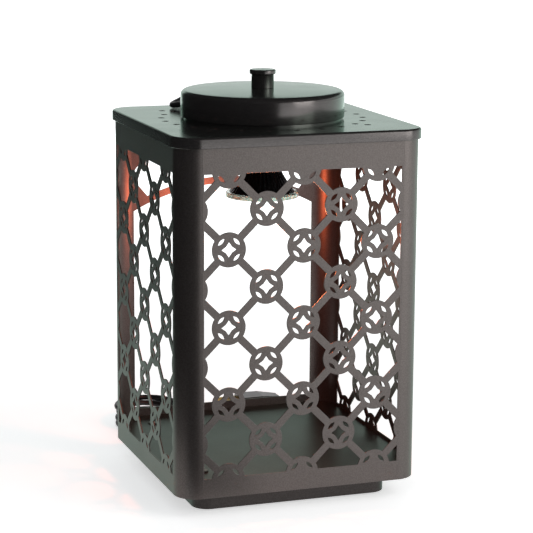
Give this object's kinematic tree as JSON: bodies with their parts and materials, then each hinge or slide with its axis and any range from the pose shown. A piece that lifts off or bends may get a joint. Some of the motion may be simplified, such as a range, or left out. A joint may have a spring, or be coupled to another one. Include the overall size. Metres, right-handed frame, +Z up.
{
  "type": "candle warmer lamp",
  "caption": "Square lantern candle warmer with pierced lattice sides, an open arched back, a domed top with a halogen lamp and a corded thumbwheel switch.",
  "frame": {"origin": "centre of the four rubber pads on the surface that the lantern stands on", "axes": "+Z up through the knob, -Y towards the front lattice, +X to the right seen from the front"},
  "size_m": [0.1826, 0.2585, 0.283],
  "materials": {
    "bronze_enamel": "satin metallic dark bronze",
    "steel": "plain zinc plated",
    "pin_metal": "bright nickel",
    "holder_ceramic": "unglazed white",
    "lamp_ceramic": "dark",
    "reflector_coat": "satin black, mirrored inside",
    "clear_glass": "clear",
    "black_rubber": "matte",
    "cord_jacket": "smooth black jacket",
    "black_plastic": "moulded black",
    "blade_brass": "bright"
  },
  "bodies": {
    "lantern": {"front_panel": "bronze_enamel", "left_panel": "bronze_enamel", "right_panel": "bronze_enamel", "back_panel": "bronze_enamel", "top_cap": "bronze_enamel", "dome_cover": "bronze_enamel", "knob": "bronze_enamel", "floor_plate": "bronze_enamel", "base_plinth": "bronze_enamel", "base_rivets": "bronze_enamel", "knob_stud": "steel", "knob_washer": "steel", "socket_bracket": "steel", "bracket_screws": "steel", "socket_screws": "steel", "lamp_socket": "holder_ceramic", "base_pads": "black_rubber", "strain_relief": "black_rubber", "cord_run": "cord_jacket", "cord_coil": "cord_jacket", "cord_tail": "cord_jacket", "plug_lead": "cord_jacket", "socket_leads": "cord_jacket", "switch_base": "black_plastic", "switch_cover": "black_plastic", "plug_body": "black_plastic", "plug_blades": "blade_brass"},
    "lamp": {"lamp_base": "lamp_ceramic", "lamp_pins": "pin_metal", "lamp_reflector": "reflector_coat", "lamp_lens": "clear_glass", "lamp_capsule": "clear_glass"},
    "wheel": {"switch_wheel": "black_plastic"}
  },
  "joints": [
    {"name": "lamp_twist", "type": "hinge", "parent": "lantern", "child": "lamp", "pos_m": [0, 0, 0.2438], "axis": [0, 0, 1], "range_deg": [0, 40]},
    {"name": "wheel_turn", "type": "hinge", "parent": "lantern", "child": "wheel", "pos_m": [0.042, 0.122, 0.008], "axis": [0, 0, 1], "continuous": true}
  ]
}
